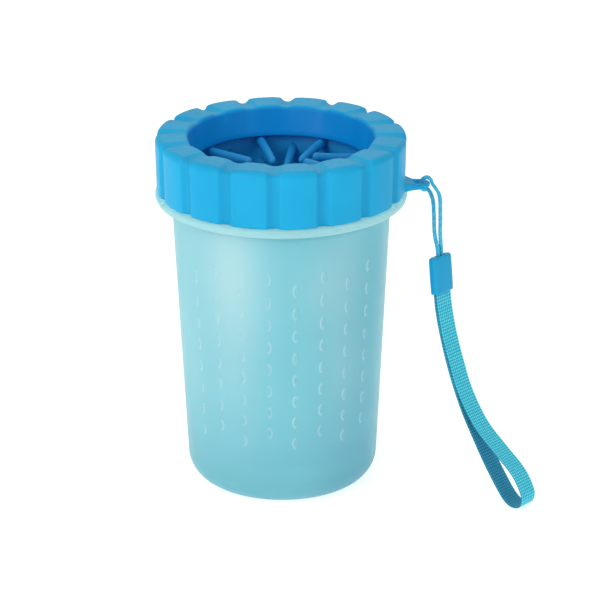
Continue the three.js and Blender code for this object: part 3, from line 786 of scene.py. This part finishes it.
def noise(tree, coords, scale, detail=3.0, roughness=0.5):
    return add_node(tree, "TexNoise", Scale=scale, Detail=detail, Roughness=roughness,
                    Vector=coords).outputs["Fac"]


def attribute(tree, name):
    node = tree.nodes.new("ShaderNodeAttribute")
    node.attribute_name = name
    return node.outputs["Fac"]


def map_range(tree, value, source, target):
    """Linear map of value from the source (low, high) to the target (low, high)."""
    return add_node(tree, "MapRange", From_Min=source[0], From_Max=source[1],
                    To_Min=target[0], To_Max=target[1], Value=value).outputs["Result"]


def noise_range(tree, coords, target, scale, detail=3.0):
    """Noise spread over the target (low, high)."""
    return map_range(tree, noise(tree, coords, scale, detail), (0.3, 0.7), target)


def noise_tint(tree, coords, dark, light, scale, detail=3.0, dark_at=0.3, light_at=0.7):
    """Two colours mottled by noise; the last two are the ramp's stops."""
    value = noise(tree, coords, scale, detail)
    ramp = add_node(tree, "ValToRGB", Fac=value)
    stops = ((dark_at, dark), (light_at, light))
    for element, (position, colour) in zip(ramp.color_ramp.elements, stops):
        element.position = position
        element.color = (*colour, 1)
    return ramp.outputs["Color"]


def bump(tree, height, strength, distance):
    return add_node(tree, "Bump", Strength=strength, Distance=distance,
                    Height=height).outputs["Normal"]


def mix_colours(tree, share, first, second, mode="MIX"):
    mix = tree.nodes.new("ShaderNodeMix")
    mix.data_type = "RGBA"
    mix.blend_type = mode
    # the colour version's sockets: factor 0, A 6, B 7, result 2
    for index, value in ((0, share), (6, first), (7, second)):
        feed(tree, mix.inputs[index], value)
    return mix.outputs[2]


def largest(tree, first, second):
    node = tree.nodes.new("ShaderNodeMath")
    node.operation = "MAXIMUM"
    tree.links.new(first, node.inputs[0])
    tree.links.new(second, node.inputs[1])
    return node.outputs[0]


def mix_shaders(tree, share, first, second):
    node = tree.nodes.new("ShaderNodeMixShader")
    for index, value in enumerate((share, first, second)):
        feed(tree, node.inputs[index], value)
    return node.outputs[0]


def add_shaders(tree, first, second):
    node = tree.nodes.new("ShaderNodeAddShader")
    tree.links.new(first, node.inputs[0])
    tree.links.new(second, node.inputs[1])
    return node.outputs[0]


# -------------------------------------------------------------------- materials
def satin_plastic(name, dark, light, roughness, subsurface, specular, groove_shade=0.0):
    """Satin moulded plastic; groove_shade sets the painted shade in the lid's grooves, and its well
    gets painted shade and a painted glow.
    """
    material, tree, surface = new_material(name)
    coords = object_coords(tree)
    colour = noise_tint(tree, coords, dark, light, scale=38.0, detail=2.0,
                        dark_at=0.35, light_at=0.68)
    glow = {}
    if groove_shade:
        in_groove = map_range(tree, attribute(tree, "groove"), (0.0, 1.0), (0.0, groove_shade))
        # painted shade: the grooves darker
        colour = mix_colours(tree, in_groove, colour, tuple(0.72 * c for c in dark))
        # painted shade: the well's inner wall a deeper, darker blue
        colour = mix_colours(tree, attribute(tree, "well"), colour, (0.0008, 0.250, 0.660))
        # painted glow: emission standing in for daylight carried down through the ring
        glow = {
            "Emission_Color": (0.0, 0.30, 0.80),
            "Emission_Strength": map_range(tree, attribute(tree, "well"),
                                           (0.0, 1.0), (0.0, 0.065)),
        }
    roughness = noise_range(tree, coords, roughness, scale=420.0, detail=4.0)
    grain = noise(tree, coords, scale=2600.0, roughness=0.6)
    plastic = add_node(
        tree, "BsdfPrincipled", Base_Color=colour, Roughness=roughness,
        Normal=bump(tree, grain, strength=0.10, distance=0.00004),
        IOR=1.47, Specular_IOR_Level=specular, Subsurface_Weight=subsurface,
        Subsurface_Radius=(0.4, 1.6, 2.4), Subsurface_Scale=0.001, **glow)
    tree.links.new(plastic.outputs["BSDF"], surface)
    return material


def frosted(name):
    """Frosted translucent plastic: light passes, shapes behind it blur away."""
    material, tree, surface = new_material(name)
    coords = object_coords(tree)
    mottling = dict(scale=24.0, detail=2.0, dark_at=0.30, light_at=0.72)
    deep = noise_tint(tree, coords, (0.31, 0.755, 0.785), (0.345, 0.785, 0.815), **mottling)
    pale = noise_tint(tree, coords, (0.68, 0.900, 0.865), (0.72, 0.925, 0.89), **mottling)

    # painted light: paler where seen edge-on (a painted reflection), on the ovals' rims (a painted
    # highlight) and in the painted light bands
    facing = add_node(tree, "LayerWeight", Blend=0.35).outputs["Facing"]
    edge_on = map_range(tree, facing, (0.45, 0.97), (0.0, 1.0))
    rim_highlight = map_range(tree, attribute(tree, "rim"), (0.0, 1.0), (0.0, 0.95))
    paleness = largest(tree, edge_on, rim_highlight)
    paleness = largest(tree, paleness, attribute(tree, "painted_light"))
    colour = mix_colours(tree, paleness, deep, pale)
    colour = mix_colours(tree, attribute(tree, "shade"), colour, (0.15, 0.42, 0.54))
    # painted highlight: the brightest part of each rim mixed towards white
    rim_glint = map_range(tree, attribute(tree, "rim"), (0.35, 1.0), (0.0, 0.6))
    colour = mix_colours(tree, rim_glint, colour, (0.90, 0.97, 0.97))

    glass_colour = mix_colours(tree, 0.5, colour, (0.86, 0.97, 0.985))
    glass_roughness = noise_range(tree, coords, (0.40, 0.52), scale=300.0)
    milk_roughness = noise_range(tree, coords, (0.36, 0.48), scale=300.0)
    grain = noise(tree, coords, scale=1500.0, roughness=0.6)
    normal = bump(tree, grain, strength=0.12, distance=0.00005)
    glass = add_node(tree, "BsdfPrincipled", Transmission_Weight=1.0, IOR=1.30,
                     Base_Color=glass_colour, Roughness=glass_roughness, Normal=normal)
    milk = add_node(tree, "BsdfPrincipled", IOR=1.47, Roughness=milk_roughness,
                    Base_Color=colour, Normal=normal)
    through = add_node(tree, "BsdfTranslucent", Color=colour, Normal=normal)
    body = mix_shaders(tree, 0.42, milk.outputs[0], through.outputs[0])
    both = mix_shaders(tree, 0.64, glass.outputs[0], body)
    # painted glow: a little emission standing in for light carried sideways through the wall
    carried = add_node(tree, "Emission", Strength=0.10, Color=colour)
    tree.links.new(add_shaders(tree, both, carried.outputs[0]), surface)
    return material


def silicone(name, dark, light, roughness, subsurface):
    material, tree, surface = new_material(name)
    coords = object_coords(tree)
    colour = noise_tint(tree, coords, dark, light, scale=60.0)
    roughness = noise_range(tree, coords, roughness, scale=500.0)
    grain = noise(tree, coords, scale=1800.0, detail=2.0)
    rubber = add_node(
        tree, "BsdfPrincipled", Base_Color=colour, Roughness=roughness,
        Normal=bump(tree, grain, strength=0.08, distance=0.00004),
        IOR=1.41, Specular_IOR_Level=0.3, Subsurface_Weight=subsurface,
        Subsurface_Radius=(0.4, 1.2, 2.2), Subsurface_Scale=0.001)
    tree.links.new(rubber.outputs[0], surface)
    return material


def woven(name, gap_shade, yarn_dark, yarn_light):
    """Yarn: painted shade darkens the gaps between crossings; fibrous, with a soft sheen."""
    material, tree, surface = new_material(name)
    coords = object_coords(tree)
    fibres = noise(tree, object_coords(tree), scale=5200.0, detail=2.0, roughness=0.7)
    tint = noise_tint(tree, coords, yarn_dark, yarn_light, scale=700.0)
    on_yarn = map_range(tree, attribute(tree, "yarn"), (0.05, 0.7), (0.0, 1.0))
    # painted shade between the crossings
    colour = mix_colours(tree, on_yarn, gap_shade, tint)
    # painted shade: the face inside the loop, low down, reads deeper
    colour = mix_colours(tree, attribute(tree, "inner"), colour, (0.42, 0.60, 0.70), "MULTIPLY")
    cloth = add_node(
        tree, "BsdfPrincipled", Base_Color=colour,
        Roughness=map_range(tree, fibres, (0.3, 0.7), (0.62, 0.85)),
        Sheen_Weight=0.35, Sheen_Roughness=0.4, Specular_IOR_Level=0.35,
        Normal=bump(tree, fibres, strength=0.35, distance=0.00005))
    tree.links.new(cloth.outputs[0], surface)
    return material


def floor_material():
    """White floor that also glows, so that shadows stay light."""
    material, tree, surface = new_material("floor_look")
    colour = noise_tint(tree, object_coords(tree), (0.62, 0.62, 0.62), (0.65, 0.65, 0.65),
                        scale=3.0, detail=2.0)
    matt = add_node(tree, "BsdfDiffuse", Color=colour)
    glow = add_node(tree, "Emission", Color=(1, 1, 1), Strength=0.72)
    tree.links.new(add_shaders(tree, matt.outputs[0], glow.outputs[0]), surface)
    return material


# --------------------------------------------------------------------- assemble
cup_look = frosted("frosted_plastic_look")
lid_look = satin_plastic("blue_plastic_look", dark=(0.010, 0.385, 0.690),
                         light=(0.014, 0.430, 0.745), roughness=(0.36, 0.46),
                         subsurface=0.12, specular=0.14, groove_shade=0.25)
brush_look = silicone("blue_silicone_look", dark=(0.010, 0.270, 0.610),
                      light=(0.016, 0.330, 0.700), roughness=(0.36, 0.5), subsurface=0.25)
seal_look = silicone("clear_silicone_look", dark=(0.66, 0.76, 0.80),
                     light=(0.78, 0.86, 0.88), roughness=(0.4, 0.5), subsurface=0.2)
ferrule_look = satin_plastic("ferrule_plastic_look", dark=(0.006, 0.345, 0.630),
                             light=(0.010, 0.390, 0.690), roughness=(0.30, 0.40),
                             subsurface=0.08, specular=0.28)
web_look = woven("webbing_look", gap_shade=(0.012, 0.25, 0.41),
                 yarn_dark=(0.060, 0.74, 0.95), yarn_light=(0.11, 0.87, 0.98))
cord_look = woven("braided_cord_look", gap_shade=(0.02, 0.27, 0.45),
                  yarn_dark=(0.05, 0.50, 0.74), yarn_light=(0.09, 0.62, 0.84))
thread_look = woven("sewing_thread_look", gap_shade=(0.02, 0.25, 0.40),
                    yarn_dark=(0.03, 0.33, 0.52), yarn_light=(0.05, 0.42, 0.62))


def metres(point):
    return tuple(float(x) * MM for x in point)


# maker, material, body it rides on, CAD piece it replaces, material slot
PIECES = [
    (make_cup, cup_look, "cup", "cup", "frosted_plastic"),
    (make_sleeve, brush_look, "brush", "brush_insert", "blue_silicone"),
    (make_bristles, brush_look, "brush", None, "blue_silicone"),
    (make_seal, seal_look, "seal", "seal_ring", "clear_silicone"),
    (make_lid, lid_look, "lid", "lid_ring", "blue_plastic"),
    (make_lug, lid_look, "lid", None, "blue_plastic"),
    (make_ferrule, ferrule_look, "strap", "strap_ferrule", "ferrule_plastic"),
    (make_stitching, thread_look, "strap", "strap_stitching", "sewing_thread"),
    (make_cord, cord_look, "cord", "cord_loop", "braided_cord"),
    (make_webbing, web_look, "strap", "wrist_strap", "webbing"),
]
for make, look, body, cad_piece, slot in PIECES:
    ob = make()
    ob.data.materials.append(look)
    if make is make_cord:
        # the cord's transform is baked into its mesh, so it rides on no body; the two points just
        # above the ferrule are worked out but not used
        metres(ferrule_point(-6.0, 0, 0))
        metres(ferrule_point(0.2, 0, 0))
        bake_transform(ob)
    else:
        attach(ob, body)
    if cad_piece:
        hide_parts(cad_piece)


# ------------------------------------------------------- floor and lights, metres
def make_floor():
    look = floor_material()
    bm = bmesh.new()
    bmesh.ops.create_grid(bm, x_segments=8, y_segments=8, size=6.0)
    mesh = bpy.data.meshes.new("floor")
    bm.to_mesh(mesh)
    bm.free()
    floor = bpy.data.objects.new("floor", mesh)
    floor.location = (0, 0, -0.00005)    # just under the cup
    bpy.context.scene.collection.objects.link(floor)
    mesh.materials.append(look)


def make_world():
    world = bpy.data.worlds.new("studio")
    bpy.context.scene.world = world
    world.use_nodes = True
    background = world.node_tree.nodes["Background"]
    background.inputs["Color"].default_value = (0.97, 0.985, 1.0, 1)
    background.inputs["Strength"].default_value = 0.42


def softbox(name, place, target, size, power, colour=(1, 1, 1)):
    light = bpy.data.lights.new(name, "AREA")
    light.shape = "RECTANGLE"
    light.size, light.size_y = size
    light.energy = power
    light.color = colour
    ob = bpy.data.objects.new(name, light)
    ob.location = place
    ob.rotation_mode = "QUATERNION"
    ob.rotation_quaternion = (Vector(target) - Vector(place)).to_track_quat("-Z", "Y")
    bpy.context.scene.collection.objects.link(ob)


make_floor()
make_world()
softbox("key", place=(-0.55, -0.60, 0.50), target=(0, 0, 0.05), size=(0.40, 0.60), power=3.3,
        colour=(1.0, 0.99, 0.97))
softbox("fill", place=(0.60, -0.55, 0.42), target=(0, 0, 0.05), size=(0.40, 0.60), power=0.95,
        colour=(0.96, 0.985, 1.0))
softbox("top", place=(0.0, 0.10, 0.85), target=(0, 0, 0.05), size=(0.6, 0.6), power=1.1)
softbox("back", place=(0.15, 0.75, 0.45), target=(0, 0, 0.08), size=(0.6, 0.4), power=0.35)

# ------------------------------------------------------------------ camera, mm
CAMERA_BACK, CAMERA_HEIGHT = 737.80, 294.38
SENSOR_W, FOCAL = 36.0, 101.4114
FILM_SHIFT_X, FILM_SHIFT_Y = -0.35052, 69.09
FILM_PITCH, FILM_YAW = math.radians(51.9978), math.radians(0.3638)    # down, towards +X


def make_camera():
    """Camera with its film tilted against the line of sight, as on a view camera.

    The skewed frame is split in two: the parent empty turns and scales, the camera turns.
    """
    forward = np.array([math.sin(FILM_YAW) * math.cos(FILM_PITCH),
                        math.cos(FILM_YAW) * math.cos(FILM_PITCH), -math.sin(FILM_PITCH)])
    right = unit(np.cross(forward, [0, 0, 1.0]))
    up = np.cross(right, forward)
    sight = forward - right * FILM_SHIFT_X / FOCAL + up * FILM_SHIFT_Y / FOCAL
    stretch = np.linalg.norm(sight)
    U, S, Vt = np.linalg.svd(np.stack([right, up, -sight / stretch], 1))
    if np.linalg.det(U) < 0:
        U[:, 2] *= -1
        Vt[2] *= -1

    rig = bpy.data.objects.new("camera_rig", None)
    bpy.context.scene.collection.objects.link(rig)
    place = Vector((0, -CAMERA_BACK * MM, CAMERA_HEIGHT * MM))
    rig.matrix_world = (Matrix.Translation(place) @ Matrix(U.tolist()).to_4x4()
                        @ Matrix.Diagonal((*S.tolist(), 1)))

    lens = bpy.data.cameras.new("camera")
    lens.sensor_width = SENSOR_W
    lens.lens = FOCAL * stretch
    lens.clip_start = 0.01
    lens.clip_end = 50
    camera = bpy.data.objects.new("camera", lens)
    bpy.context.scene.collection.objects.link(camera)
    camera.parent = rig
    camera.matrix_parent_inverse = Matrix.Identity(4)
    camera.matrix_basis = Matrix(Vt.tolist()).to_4x4()
    bpy.context.scene.camera = camera


make_camera()
view = bpy.context.scene.view_settings
view.view_transform = "Standard"
view.look = "None"
